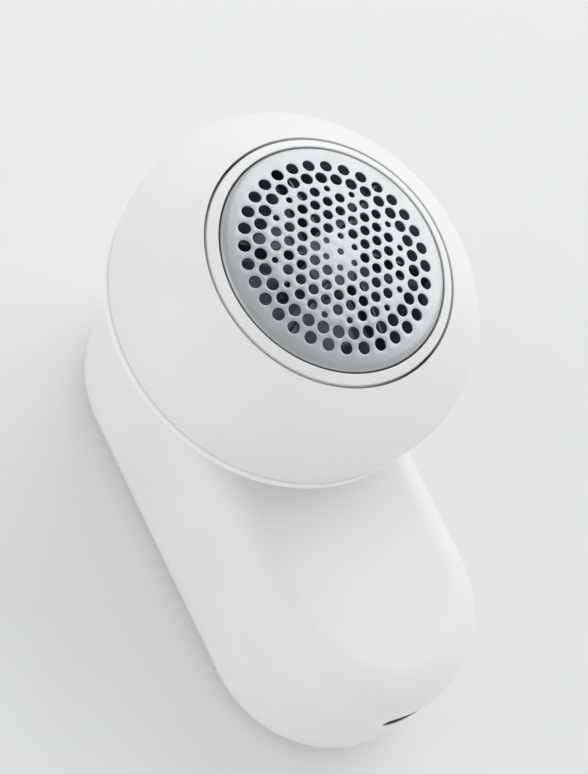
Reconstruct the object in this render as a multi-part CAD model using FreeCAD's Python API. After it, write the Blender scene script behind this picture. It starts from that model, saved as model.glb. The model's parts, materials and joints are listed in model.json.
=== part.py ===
"""Rechargeable fabric shaver: a round cutting head over one end of a pill-shaped handle.

Millimetres, +Z up. The handle lies flat on its underside, so the cutting foil faces up.
The origin is the centre of the bounding box at the underside. +X points along the handle,
from the head to the tail. Every separate physical piece is written to its own file.
"""
import FreeCAD, Part
import math
import os

V = FreeCAD.Vector
UP = V(0, 0, 1)

# ---------------------------------------------------------------- driving dimensions
HANDLE_WIDTH = 48.5
HANDLE_RUN = 56.0          # between the centres of the two round ends
HANDLE_HEIGHT = 34.5
HANDLE_TOP_ROUND = 8.5
HANDLE_LOW_ROUND = 9.0
HANDLE_WALL = 1.8
HEAD_BACKSET = 1.5         # the head's axis sits this far inside the handle's round end

HEAD_R = 36.7              # widest radius of the head
HEAD_WIDE_Z = 56.1         # height of the widest ring
HEAD_TOP_B = 18.46         # upper ellipse, semi-axis along Z
HEAD_LOW_B = 38.2          # lower ellipse, semi-axis along Z
HEAD_FOOT_Z = 45.9
HEAD_WALL = 1.6
MOUTH_R = 25.8             # round opening in the top of the head

FOIL_R = 23.0
FOIL_EDGE_Z = 70.5
FOIL_RISE = 2.9
FOIL_THICK = 0.35
HOLE_SMALL = 1.25          # hole diameters
HOLE_MEDIUM = 2.0
HOLE_LARGE = 2.4
HOLE_PITCH = 2.95
HOLE_FIRST_RING = 3.35
HOLE_RING_INNER = 15.95
HOLE_RING_OUTER = 18.75
HOLE_RING_COUNT = 32

RING_INNER_R = 23.3
RING_OUTER_R = 25.25
RING_FOOT_Z = 64.0
LEDGE_Z = 63.6             # ledge in the mouth that the foil carrier stands on
LEDGE_THICK = 1.4
LEDGE_R = 22.2

TRAY_TOP = 45.8
TRAY_LOW = 44.2
TRAY_R = 36.0
NECK_R = 20.0
SPIGOT_R = 17.0

TOWER_R = 14.0
TOWER_BORE = 12.3
TOWER_TOP = 57.7
TOWER_ROOF = 55.7
MOTOR_R = 12.2
MOTOR_LOW = 26.0
SHAFT_R = 1.0

CUTTER_R = 20.8
CUTTER_GAP = 0.3
BLADE_COUNT = 6

PCB_LOW = 6.6
PCB_TOP = 7.8
PCB_HALF = 9.0
CELL_R = 9.2
CELL_LENGTH = 50.0
CELL_Z = 19.5
TAIL_POST_Y = 12.0
FRONT_POST_REACH = 12.0
POST_R = 2.4

COVER_HALF = 15.2
COVER_THICK = 1.8
BUTTON_R = 7.0
PORT_Z = 22.0
PORT_DEPTH = 1.7            # from the tail's surface in to the socket's face

# ---------------------------------------------------------------- places that follow from them
HALF_WIDTH = HANDLE_WIDTH / 2
TAIL_REACH = HANDLE_RUN + HALF_WIDTH - HEAD_BACKSET
HEAD_X = (HEAD_R - TAIL_REACH) / 2
FRONT_X = HEAD_X - HEAD_BACKSET
TAIL_CENTRE_X = FRONT_X + HANDLE_RUN
TAIL_X = TAIL_CENTRE_X + HALF_WIDTH
MOUTH_Z = HEAD_WIDE_Z + HEAD_TOP_B * math.sqrt(1 - (MOUTH_R / HEAD_R) ** 2)
FOIL_SPHERE_R = (FOIL_R ** 2 + FOIL_RISE ** 2) / (2 * FOIL_RISE)
FOIL_SPHERE_Z = FOIL_EDGE_Z + FOIL_RISE - FOIL_SPHERE_R
CEILING_Z = HANDLE_HEIGHT - HANDLE_WALL
BUTTON_X = HEAD_X + 20.0
LENS_X = BUTTON_X + 13.0
INTERLOCK_X = HEAD_X - 23.6
POST_PLACES = ((FRONT_X - FRONT_POST_REACH, 0.0),
               (TAIL_CENTRE_X, -TAIL_POST_Y),
               (TAIL_CENTRE_X, TAIL_POST_Y))
CELL_X = HEAD_X + 14.5
HEAD_SCREW_R = 18.4
HEAD_SCREW_ANGLES = (0, 60, 300)
PORT_FLOOR_X = TAIL_X - PORT_DEPTH
PORT_BOARD_X = PORT_FLOOR_X - 8.7
PCB_TAIL_X = TAIL_X - 5.9
PORT_BOARD_LOW = PORT_Z - 2.4


# ---------------------------------------------------------------- shape helpers
def cyl(radius, low, high, x=0.0, y=0.0):
    return Part.makeCylinder(radius, high - low, V(x, y, low))


def head_cyl(radius, low, high):
    return cyl(radius, low, high, HEAD_X)


def box(x0, x1, y0, y1, z0, z1):
    return Part.makeBox(x1 - x0, y1 - y0, z1 - z0, V(x0, y0, z0))


def fuse(shapes):
    return shapes[0].multiFuse(list(shapes[1:])).removeSplitter()


def ring(inner, outer, low, high):
    return head_cyl(outer, low, high).cut(head_cyl(inner, low - 1, high + 1))


def profile_edges(points):
    """Edges through (r, z) points; an entry ("arc", via, end) is a round stretch."""
    edges = []
    start = points[0]
    for item in points[1:]:
        if item[0] == "arc":
            end = item[2]
            edges.append(Part.Arc(on_plane(start), on_plane(item[1]), on_plane(end)).toShape())
        else:
            end = item
            edges.append(Part.LineSegment(on_plane(start), on_plane(end)).toShape())
        start = end
    return edges


def on_plane(point):
    return V(point[0], 0, point[1])


def revolve_edges(edges):
    face = Part.Face(Part.Wire(edges))
    solid = face.revolve(V(0, 0, 0), UP, 360)
    solid.translate(V(HEAD_X, 0, 0))
    return solid


def revolve(points):
    """Closed (r, z) outline turned round the head's axis."""
    return revolve_edges(profile_edges(list(points) + [points[0]]))


def pill(half, low, high, front=FRONT_X, tail=TAIL_CENTRE_X):
    """Upright prism with two round ends."""
    middle = box(front, tail, -half, half, low, high)
    return fuse([middle, cyl(half, low, high, front), cyl(half, low, high, tail)])


def rounded_pill(half, low, high, low_round, top_round):
    solid = pill(half, low, high)
    top = [e for e in solid.Edges if e.BoundBox.ZMin > high - 0.01]
    solid = solid.makeFillet(top_round, top)
    foot = [e for e in solid.Edges if e.BoundBox.ZMax < low + 0.01]
    return solid.makeFillet(low_round, foot)


def slot_x(half_wide, half_high, x0, x1, z):
    """Lying prism along X whose section is a slot: round on its two sides."""
    flat = half_wide - half_high
    parts = [box(x0, x1, -flat, flat, z - half_high, z + half_high)]
    for y in (-flat, flat):
        parts.append(Part.makeCylinder(half_high, x1 - x0, V(x0, y, z), V(1, 0, 0)))
    return fuse(parts)


def polar(radius, degrees):
    """(x, y) at an angle round the head's axis."""
    angle = math.radians(degrees)
    return HEAD_X + radius * math.cos(angle), radius * math.sin(angle)


def turned(shape, degrees):
    copy = shape.copy()
    copy.rotate(V(HEAD_X, 0, 0), UP, degrees)
    return copy


def hexagon(across_flats, low, high):
    corner = across_flats / math.sqrt(3)
    points = [V(*polar(corner, 60 * k), low) for k in range(7)]
    return Part.Face(Part.makePolygon(points)).extrude(UP * (high - low))


def tube(points, radius):
    """Round wire along straight runs joined by tangent arcs."""
    corners = [V(*p) for p in points]
    edges = []
    start = corners[0]
    for before, corner, after in zip(corners, corners[1:], corners[2:]):
        back = before - corner
        ahead = after - corner
        reach = 0.45 * min(back.Length, ahead.Length)
        arc_start = corner + back * (reach / back.Length)
        arc_end = corner + ahead * (reach / ahead.Length)
        half_turn = (math.pi - back.getAngle(ahead)) / 2
        bend = reach / math.tan(half_turn)
        toward = (arc_start + arc_end) * 0.5 - corner
        middle = corner + toward * ((math.hypot(reach, bend) - bend) / toward.Length)
        edges.append(Part.LineSegment(start, arc_start).toShape())
        edges.append(Part.Arc(arc_start, middle, arc_end).toShape())
        start = arc_end
    edges.append(Part.LineSegment(start, corners[-1]).toShape())
    path = Part.Wire(edges)
    section = Part.Wire(Part.Circle(corners[0], corners[1] - corners[0], radius).toShape())
    return path.makePipeShell([section], True, True)


# ---------------------------------------------------------------- head: bowl, ring, foil
def head_outline(z, inset=0.0):
    """Point on the head's outer curve at height z, moved inward along its normal."""
    half_height = HEAD_TOP_B if z > HEAD_WIDE_Z else HEAD_LOW_B
    rise = (z - HEAD_WIDE_Z) / half_height
    radius = HEAD_R * math.sqrt(1 - rise ** 2)
    normal = V(radius / HEAD_R ** 2, 0, rise / half_height)
    normal.normalize()
    return V(radius, 0, z) - normal * inset


def curve_between(z_from, z_to, inset, steps=14):
    heights = [z_from + (z_to - z_from) * k / steps for k in range(steps + 1)]
    curve = Part.BSplineCurve()
    curve.interpolate([head_outline(z, inset) for z in heights])
    return curve.toShape()


def line(a, b):
    return Part.LineSegment(a, b).toShape()


def head_shell():
    collar_r = MOUTH_R + HEAD_WALL
    outer = curve_between(HEAD_FOOT_Z, MOUTH_Z, 0.0)
    inner_top = MOUTH_Z - 1.4
    inner = curve_between(HEAD_FOOT_Z, inner_top, HEAD_WALL)
    inner_foot = inner.valueAt(inner.FirstParameter)
    inner_end = inner.valueAt(inner.LastParameter)
    foot_r = head_outline(HEAD_FOOT_Z).x
    ledge_low = LEDGE_Z - LEDGE_THICK
    corners = [V(MOUTH_R, 0, MOUTH_Z), V(MOUTH_R, 0, LEDGE_Z), V(LEDGE_R, 0, LEDGE_Z),
               V(LEDGE_R, 0, ledge_low), V(collar_r, 0, ledge_low), V(collar_r, 0, inner_end.z - 1.2),
               inner_end]
    edges = [outer]
    for a, b in zip(corners, corners[1:]):
        edges.append(line(a, b))
    edges.append(inner)
    foot_inner = V(inner_foot.x, 0, HEAD_FOOT_Z)
    edges.append(line(inner_foot, foot_inner))
    edges.append(line(foot_inner, V(foot_r, 0, HEAD_FOOT_Z)))
    bowl = revolve_edges(Part.__sortEdges__(edges))
    post = box(INTERLOCK_X - 2.0, INTERLOCK_X + 0.7, -1.2, 1.2, 49.3, ledge_low + 0.4)
    return fuse([bowl, post])


def foil_ring():
    """Bevelled lock ring; its lip stands over the carrier's flange."""
    return revolve([(RING_INNER_R, 70.45), (RING_OUTER_R, 69.40), (RING_OUTER_R, RING_FOOT_Z),
                    (24.60, RING_FOOT_Z), (24.60, 68.60), (RING_INNER_R, 68.80)])


def foil_carrier():
    return revolve([(21.4, LEDGE_Z), (24.25, LEDGE_Z), (24.25, 68.2), (22.6, 68.2),
                    (22.6, 70.0), (21.4, 70.0)])


def sphere_cap(thickness_in, low):
    """Solid ball of the foil's sphere, inset, kept above a height."""
    ball = Part.makeSphere(FOIL_SPHERE_R - thickness_in, V(HEAD_X, 0, FOIL_SPHERE_Z))
    return ball.common(head_cyl(FOIL_R + 5, low, FOIL_EDGE_Z + FOIL_RISE + 5))


def foil_hole_places():
    """Centre hole, a hexagon lattice of five rings, then two staggered round rows."""
    places = [(0.0, 0.0, HOLE_SMALL)]
    places += [(HOLE_FIRST_RING, 30 + 60 * k, HOLE_SMALL) for k in range(6)]
    for hexa in range(2, 6):
        for side in range(6):
            for step in range(hexa):
                if hexa == 5 and step == 0:
                    continue
                start = FreeCAD.Vector(*hex_corner(hexa, side), 0)
                end = FreeCAD.Vector(*hex_corner(hexa, side + 1), 0)
                point = start + (end - start) * (step / hexa)
                at_end = hexa == 5 and step in (1, 4)
                size = HOLE_SMALL if at_end else HOLE_MEDIUM
                places.append((point.Length, math.degrees(math.atan2(point.y, point.x)), size))
    turn = 360 / HOLE_RING_COUNT
    for k in range(HOLE_RING_COUNT):
        places.append((HOLE_RING_INNER, turn * (k + 0.5), HOLE_LARGE))
        places.append((HOLE_RING_OUTER, turn * k, HOLE_LARGE))
    return places


def hex_corner(ring_number, side):
    angle = math.radians(30 + 60 * side)
    radius = HOLE_PITCH * ring_number
    return radius * math.cos(angle), radius * math.sin(angle)


def foil_mesh():
    """Thin domed steel foil with a short skirt crimped round the carrier."""
    skirt_low = 68.25
    outside = sphere_cap(0, skirt_low).common(head_cyl(FOIL_R, skirt_low, 90))
    inside = sphere_cap(FOIL_THICK, skirt_low - 1).common(head_cyl(FOIL_R - FOIL_THICK, skirt_low - 1, 90))
    foil = outside.cut(inside)
    cutters = []
    for radius, degrees, size in foil_hole_places():
        x, y = polar(radius, degrees)
        cutters.append(cyl(size / 2, FOIL_EDGE_Z - 3, FOIL_EDGE_Z + 6, x, y))
    return foil.cut(Part.makeCompound(cutters))


# ---------------------------------------------------------------- tray, neck and seal
def head_tray():
    """Floor of the lint bowl, its rounded rim, a locating rib and the motor tower."""
    mid = (TRAY_TOP + TRAY_LOW) / 2
    body = revolve([
        (TOWER_BORE, 38.0), (TOWER_R, 38.0), (TOWER_R, TRAY_LOW), (TRAY_R - 0.8, TRAY_LOW),
        ("arc", (TRAY_R, mid), (TRAY_R - 0.8, TRAY_TOP)), (35.0, TRAY_TOP),
        (35.0, 45.2), (34.1, 45.2), (34.1, TRAY_TOP), (33.4, TRAY_TOP), (33.4, 48.0),
        (32.6, 48.0), (32.6, TRAY_TOP), (TOWER_R, TRAY_TOP), (TOWER_R, TOWER_TOP),
        (3.05, TOWER_TOP), (3.05, TOWER_ROOF), (TOWER_BORE, TOWER_ROOF)])
    for degrees in HEAD_SCREW_ANGLES:
        x, y = polar(HEAD_SCREW_R, degrees)
        body = body.fuse(cyl(2.2, 37.45, TRAY_LOW + 0.1, x, y))
        body = body.cut(cyl(1.15, 37.0, 43.6, x, y))
    for y in (-6.5, 6.5):
        body = body.cut(cyl(1.1, TOWER_ROOF - 1, TOWER_TOP + 1, HEAD_X, y))
    return body.cut(cyl(1.38, TRAY_LOW - 1, TRAY_TOP + 1, INTERLOCK_X)).removeSplitter()


def bin_seal():
    return ring(34.15, 34.95, 45.2, 45.85)


def neck_collar():
    """Cone under the head; its spigot drops into the handle's round hole."""
    body = revolve([
        (16.0, 31.6), (NECK_R, 31.6), (NECK_R, 34.6),
        ("arc", (20.42, 35.8), (21.6, 36.6)), (33.9, 43.3), (34.4, 44.15), (33.2, 44.15),
        (21.6, 38.0), (20.6, 37.4), (16.0, 37.4)])
    around = handle_outside().cut(head_cyl(SPIGOT_R, 20, 60))
    body = body.cut(around)
    for degrees in HEAD_SCREW_ANGLES:
        x, y = polar(HEAD_SCREW_R, degrees)
        body = body.cut(cyl(1.3, 30, 39, x, y))
        body = body.cut(cyl(2.1, 30, 32.4, x, y))
    return body


# ---------------------------------------------------------------- handle
def handle_outside():
    return rounded_pill(HALF_WIDTH, 0, HANDLE_HEIGHT, HANDLE_LOW_ROUND, HANDLE_TOP_ROUND)


def handle_shell():
    """One casing, open below, with three screw posts and the charging slot."""
    outside = handle_outside()
    inside = rounded_pill(HALF_WIDTH - HANDLE_WALL, HANDLE_WALL, CEILING_Z,
                          HANDLE_LOW_ROUND - HANDLE_WALL, HANDLE_TOP_ROUND - HANDLE_WALL)
    shell = outside.cut(inside)
    shell = shell.cut(pill(COVER_HALF + 0.15, -1, HANDLE_WALL + 1))
    shell = shell.cut(head_cyl(SPIGOT_R + 0.05, 30, 40))
    shell = shell.multiFuse(screw_posts())
    for x, y in POST_PLACES:
        shell = shell.cut(cyl(0.95, 0, 11, x, y))
    for degrees in HEAD_SCREW_ANGLES:
        x, y = polar(HEAD_SCREW_R, degrees)
        shell = shell.cut(cyl(1.3, 30, 40, x, y))
    slot_wall = slot_x(6.0, 3.3, PORT_FLOOR_X - 1.2, TAIL_X, PORT_Z).common(outside)
    shell = shell.fuse(slot_wall)
    shell = shell.cut(slot_x(4.85, 2.15, PORT_FLOOR_X, TAIL_X + 1, PORT_Z))
    return shell.cut(slot_x(4.52, 1.65, PORT_FLOOR_X - 2, TAIL_X, PORT_Z)).removeSplitter()


def screw_posts():
    """Short post with a rib under the motor, tall posts at the tail."""
    low = COVER_THICK + 0.05
    front_x = POST_PLACES[0][0]
    wall_x = FRONT_X - HALF_WIDTH + HANDLE_WALL - 0.5
    posts = [cyl(POST_R, low, 12.0, front_x), box(wall_x, front_x, -0.8, 0.8, low, 12.0)]
    for x, y in POST_PLACES[1:]:
        posts.append(cyl(POST_R, low, CEILING_Z + 0.5, x, y))
    return posts


def base_cover():
    """Flat plate in the underside: button hole, lens hole, screw seats, board stand-offs."""
    plate = pill(COVER_HALF, 0, COVER_THICK)
    plate = plate.cut(cyl(BUTTON_R + 0.35, -1, COVER_THICK + 1, BUTTON_X))
    plate = plate.cut(cyl(1.25, -1, COVER_THICK + 1, LENS_X))
    for x, y in POST_PLACES:
        plate = plate.cut(cyl(1.15, -1, COVER_THICK + 1, x, y))
        plate = plate.cut(cyl(2.2, -1, 0.95, x, y))
    standoffs = [cyl(1.4, COVER_THICK - 0.5, PCB_LOW, x, y)
                 for x in (HEAD_X - 8, HEAD_X + 42, HEAD_X + 63) for y in (-7, 7)]
    return fuse([plate] + standoffs)


def cover_screws():
    screws = []
    for x, y in POST_PLACES:
        head = cyl(2.1, 0.25, 0.95, x, y)
        slot = box(x - 1.2, x + 1.2, y - 0.22, y + 0.22, 0, 0.6)
        cross = box(x - 0.22, x + 0.22, y - 1.2, y + 1.2, 0, 0.6)
        screws.append(fuse([head.cut(slot).cut(cross), cyl(0.9, 0.9, 10.0, x, y)]))
    return Part.makeCompound(screws)


def head_screws():
    screws = []
    for degrees in HEAD_SCREW_ANGLES:
        x, y = polar(HEAD_SCREW_R, degrees)
        screws.append(fuse([cyl(1.8, 30.8, 32.2, x, y), cyl(1.1, 32.1, 43.4, x, y)]))
    return Part.makeCompound(screws)


# ---------------------------------------------------------------- motor
def motor_can():
    can = head_cyl(MOTOR_R, MOTOR_LOW, TOWER_ROOF - 0.05).cut(head_cyl(11.4, MOTOR_LOW - 1, TOWER_ROOF - 0.85))
    boss = head_cyl(3.0, TOWER_ROOF - 1.0, TOWER_ROOF + 1.4)
    can = can.fuse(boss).cut(head_cyl(2.05, MOTOR_LOW, 60))
    for y in (-6.5, 6.5):
        can = can.cut(cyl(0.95, 50, 60, HEAD_X, y))
    return can.removeSplitter()


def motor_end_cap():
    cap = fuse([head_cyl(11.35, MOTOR_LOW - 2, MOTOR_LOW + 1.2), head_cyl(3.2, MOTOR_LOW - 3.4, MOTOR_LOW)])
    cap = cap.cut(head_cyl(2.05, 20, 30))
    for y in (-7, 7):
        cap = cap.cut(box(HEAD_X - 1.1, HEAD_X + 1.1, y - 0.3, y + 0.3, 20, 30))
    return cap


def motor_terminals():
    tabs = [box(HEAD_X - 1.0, HEAD_X + 1.0, y - 0.2, y + 0.2, MOTOR_LOW - 5.5, MOTOR_LOW + 1.2)
            for y in (-7, 7)]
    return Part.makeCompound(tabs)


def motor_bushes():
    return Part.makeCompound([ring(SHAFT_R + 0.05, 2.0, TOWER_ROOF - 1.7, TOWER_ROOF + 1.3),
                              ring(SHAFT_R + 0.05, 2.0, MOTOR_LOW - 3.4, MOTOR_LOW - 0.4)])


def motor_brushes():
    return Part.makeCompound([box(HEAD_X - 1.2, HEAD_X + 1.2, low, low + 2.4, 28.2, 30.2)
                              for low in (-5.4, 3.0)])


def sector(inner, outer, low, high, middle, span):
    """Arc-shaped block round the head's axis."""
    block = ring(inner, outer, low, high)
    reach = outer * 3
    points = [V(HEAD_X, 0, low - 1)]
    for part in (-0.5, 0.0, 0.5):
        x, y = polar(reach, middle + span * part)
        points.append(V(x, y, low - 1))
    points.append(points[0])
    wedge = Part.Face(Part.makePolygon(points)).extrude(UP * (high - low + 2))
    return block.common(wedge)


def motor_magnets():
    return Part.makeCompound([sector(9.5, 11.35, 32, 50, middle, 130) for middle in (0, 180)])


def motor_shaft():
    return head_cyl(SHAFT_R, MOTOR_LOW - 3.2, 62.0)


def armature_core():
    poles = [ring(SHAFT_R, 3.2, 33, 49)]
    for middle in (0, 120, 240):
        arm = box(HEAD_X + 1.5, HEAD_X + 8.0, -1.3, 1.3, 33, 49)
        poles.append(turned(arm, middle))
        poles.append(sector(7.4, 8.9, 33, 49, middle, 96))
    return fuse(poles)


def armature_coils():
    coils = []
    for middle in (0, 120, 240):
        block = box(HEAD_X + 3.6, HEAD_X + 6.5, -2.9, 2.9, 31.2, 50.8)
        block = block.cut(box(HEAD_X, HEAD_X + 9, -1.35, 1.35, 32.95, 49.05))
        coils.append(turned(block, middle))
    return Part.makeCompound(coils)


def commutator():
    return ring(SHAFT_R, 2.6, 27.4, 31.0)


def motor_screws():
    screws = []
    for y in (-6.5, 6.5):
        head = cyl(1.9, TOWER_TOP + 0.02, TOWER_TOP + 1.1, HEAD_X, y)
        slot = box(HEAD_X - 1.3, HEAD_X + 1.3, y - 0.25, y + 0.25, TOWER_TOP + 0.6, TOWER_TOP + 2)
        screws.append(fuse([head.cut(slot), cyl(0.9, TOWER_ROOF - 0.8, TOWER_TOP + 0.3, HEAD_X, y)]))
    return Part.makeCompound(screws)


def shaft_seal():
    return ring(SHAFT_R + 0.35, 3.8, TOWER_TOP, TOWER_TOP + 0.9)


# ---------------------------------------------------------------- drive and cutter
def drive_coupler():
    flange = head_cyl(4.0, TOWER_TOP + 1.3, TOWER_TOP + 2.5)
    coupler = fuse([flange, hexagon(4.6, TOWER_TOP + 1.3, 66.0)])
    coupler = coupler.cut(head_cyl(SHAFT_R, 50, 62.0))
    return coupler.cut(head_cyl(1.8, 62.0, 70))


def cutter_spring():
    radius, wire_r, low, turns, pitch = 1.3, 0.2, 62.25, 5.5, 0.85
    helix = Part.makeHelix(pitch, pitch * turns, radius)
    helix.translate(V(HEAD_X, 0, low))
    circle = Part.Wire(Part.Circle(V(HEAD_X + radius, 0, low), V(0, 1, 0), wire_r).toShape())
    return Part.Wire(helix).makePipeShell([circle], True, True)


def blade_angle(number):
    return 360 / BLADE_COUNT * number


def blade_slot(thick, low, high):
    """One upright blade blank, set off the axis so that it sweeps across the foil."""
    offset = 1.6
    return box(HEAD_X + 5.4, HEAD_X + CUTTER_R + 1, offset - thick / 2, offset + thick / 2, low, high)


def cutter_hub():
    hub = head_cyl(5.2, 63.0, 69.0)
    arms = []
    for number in range(BLADE_COUNT):
        arm = box(HEAD_X + 3, HEAD_X + 19.5, 0.1, 3.1, 64.8, 67.2)
        arms.append(turned(arm, blade_angle(number)))
    hub = fuse([hub] + arms).common(head_cyl(19.4, 60, 72))
    for number in range(BLADE_COUNT):
        hub = hub.cut(turned(blade_slot(0.52, 65.8, 72), blade_angle(number)))
    return hub.cut(hexagon(4.8, 62, 67.2))


def cutter_blade(number):
    reach = sphere_cap(FOIL_THICK + CUTTER_GAP, 60).common(head_cyl(CUTTER_R, 60, 80))
    return turned(blade_slot(0.5, 65.82, 78).common(reach), blade_angle(number))


# ---------------------------------------------------------------- electrics
def main_pcb():
    return box(HEAD_X - 9.5, PCB_TAIL_X, -PCB_HALF, PCB_HALF, PCB_LOW, PCB_TOP)


def pcb_chips():
    charger = box(HEAD_X + 33, HEAD_X + 38, -2.5, 2.5, PCB_TOP, PCB_TOP + 1.0)
    switcher = box(HEAD_X + 42, HEAD_X + 45, 1, 4, PCB_TOP, PCB_TOP + 1.0)
    coil = box(HEAD_X + 42, HEAD_X + 46, -5, -1, PCB_TOP, PCB_TOP + 1.8)
    small = [box(x, x + 1.6, 4.5, 5.3, PCB_TOP, PCB_TOP + 0.7)
             for x in (HEAD_X + 30, HEAD_X + 33, HEAD_X + 36)]
    return Part.makeCompound([charger, switcher, coil] + small)


def battery_cell():
    cell = Part.makeCylinder(CELL_R, CELL_LENGTH, V(CELL_X, 0, CELL_Z), V(1, 0, 0))
    return cell.makeFillet(0.6, [e for e in cell.Edges if e.BoundBox.XLength < 0.01])


def battery_cradle():
    """Saddles on side rails that hold the cell over the board, and legs for the port board."""
    saddles = [box(CELL_X + x, CELL_X + x + 3, -8.9, 8.9, PCB_TOP, 15.5) for x in (6, 40)]
    rails = [box(CELL_X + 6, PORT_BOARD_X + 3.6, y, y + 1.2, PCB_TOP, 9.6) for y in (-8.9, 7.7)]
    legs = [box(PORT_BOARD_X + 0.8, PORT_BOARD_X + 3.6, y, y + 2.4, PCB_TOP, PORT_BOARD_LOW)
            for y in (-8.9, 6.5)]
    frame = fuse(saddles + rails + legs)
    room = Part.makeCylinder(CELL_R + 0.03, 90, V(CELL_X - 10, 0, CELL_Z), V(1, 0, 0))
    return frame.cut(room)


def battery_tabs():
    tabs = []
    for x in (CELL_X - 0.25, CELL_X + CELL_LENGTH + 0.05):
        tabs.append(box(x, x + 0.2, -2.5, 2.5, PCB_TOP, CELL_Z + 2))
    return Part.makeCompound(tabs)


def port_board():
    """Small board behind the tail wall that carries the charging socket."""
    return box(PORT_BOARD_X, PORT_FLOOR_X - 2.6, -8.6, 8.6, PORT_BOARD_LOW, PORT_Z - 1.6)


def port_pins():
    """Four straight pins that join the port board to the main board."""
    x = PORT_BOARD_X + 1.2
    return Part.makeCompound([box(x, x + 0.5, y - 0.25, y + 0.25, PCB_TOP, PORT_BOARD_LOW)
                              for y in (-3, -1, 1, 3)])


def port_liner():
    """Dark frame of the charging slot, just below the tail's surface."""
    frame = slot_x(4.8, 2.1, PORT_FLOOR_X, TAIL_X, PORT_Z)
    frame = frame.common(cyl(HANDLE_WIDTH / 2 - 0.1, PORT_Z - 3, PORT_Z + 3, TAIL_CENTRE_X))
    return frame.cut(slot_x(4.2, 1.35, PORT_FLOOR_X - 1, TAIL_X + 1, PORT_Z))


def usb_receptacle():
    x0 = PORT_FLOOR_X - 7.3
    sleeve = slot_x(4.47, 1.6, x0, PORT_FLOOR_X, PORT_Z)
    return sleeve.cut(slot_x(4.17, 1.3, x0 + 1.0, PORT_FLOOR_X + 1, PORT_Z))


def usb_tongue():
    return box(PORT_FLOOR_X - 6.28, PORT_FLOOR_X - 0.9, -3.35, 3.35, PORT_Z - 0.35, PORT_Z + 0.35)


def power_button():
    cap = cyl(BUTTON_R, 0.3, 2.2, BUTTON_X)
    cap = cap.makeFillet(0.5, [e for e in cap.Edges if e.BoundBox.ZMax < 0.31])
    return fuse([cap, cyl(BUTTON_R + 1.2, 1.85, 2.9, BUTTON_X), cyl(1.2, 2.8, 3.2, BUTTON_X)])


def button_switch():
    return fuse([box(BUTTON_X - 2.6, BUTTON_X + 2.6, -2.6, 2.6, 4.6, PCB_LOW), cyl(1.1, 4.1, 4.7, BUTTON_X)])


def indicator_led():
    return box(LENS_X - 0.8, LENS_X + 0.8, -0.6, 0.6, 5.9, PCB_LOW)


def indicator_lens():
    return fuse([cyl(1.2, 0.15, 5.6, LENS_X), cyl(1.9, COVER_THICK, 2.6, LENS_X)])


def interlock_plunger():
    return fuse([cyl(1.3, 43.5, 49.0, INTERLOCK_X), cyl(2.0, 43.5, 44.1, INTERLOCK_X)])


def interlock_switch():
    return box(INTERLOCK_X - 1.4, INTERLOCK_X + 1.4, -1.5, 1.5, 40.0, 42.8)


def motor_lead(side):
    start = (HEAD_X + 0.4, side * 7.0, MOTOR_LOW - 5.5)
    return tube([start, (HEAD_X + 0.4, side * 7.0, 16.5), (HEAD_X + 4.6, side * 5.6, 12.5),
                 (HEAD_X + 4.6, side * 5.6, PCB_TOP)], 0.55)


def interlock_lead():
    return tube([(INTERLOCK_X + 1.4, 0, 41.6), (HEAD_X - 18.6, 0, 41.6), (HEAD_X - 15.2, 0, 40.0),
                 (HEAD_X - 15.0, 0, 33.0), (HEAD_X - 14.4, 0, 24.0), (HEAD_X - 8.6, 0, 14.0),
                 (HEAD_X - 8.6, 0, PCB_TOP)], 0.45)


# ---------------------------------------------------------------- write every piece
def all_pieces():
    builders = [
        handle_shell, base_cover, cover_screws, neck_collar, head_tray, bin_seal, head_screws,
        motor_can, motor_end_cap, motor_terminals, motor_bushes, motor_brushes, motor_magnets,
        motor_screws, shaft_seal, motor_shaft, armature_core, armature_coils, commutator,
        drive_coupler, cutter_spring, cutter_hub, head_shell, foil_mesh, foil_carrier, foil_ring,
        main_pcb, pcb_chips, battery_cell, battery_cradle, battery_tabs, port_board, port_pins,
        port_liner, usb_receptacle, usb_tongue, power_button, button_switch, indicator_led, indicator_lens,
        interlock_plunger, interlock_switch, interlock_lead]
    pieces = {builder.__name__: builder() for builder in builders}
    for number in range(BLADE_COUNT):
        pieces[f"cutter_blade_{number + 1}"] = cutter_blade(number)
    pieces["motor_lead_red"] = motor_lead(1)
    pieces["motor_lead_black"] = motor_lead(-1)
    return pieces


os.makedirs("parts", exist_ok=True)
for name, shape in all_pieces().items():
    shape.exportStep(f"parts/{name}.step")
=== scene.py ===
"""Looks of the rechargeable fabric shaver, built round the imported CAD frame.

Everything is in metres in the frame's own axes: +Z up out of the foil, +X from head to tail.
MM turns millimetres into metres, and places come from the CAD nodes' boxes.
"""
import json
import math

import bmesh
import bpy
from mathutils import Matrix, Vector
from mathutils.geometry import delaunay_2d_cdt


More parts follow.
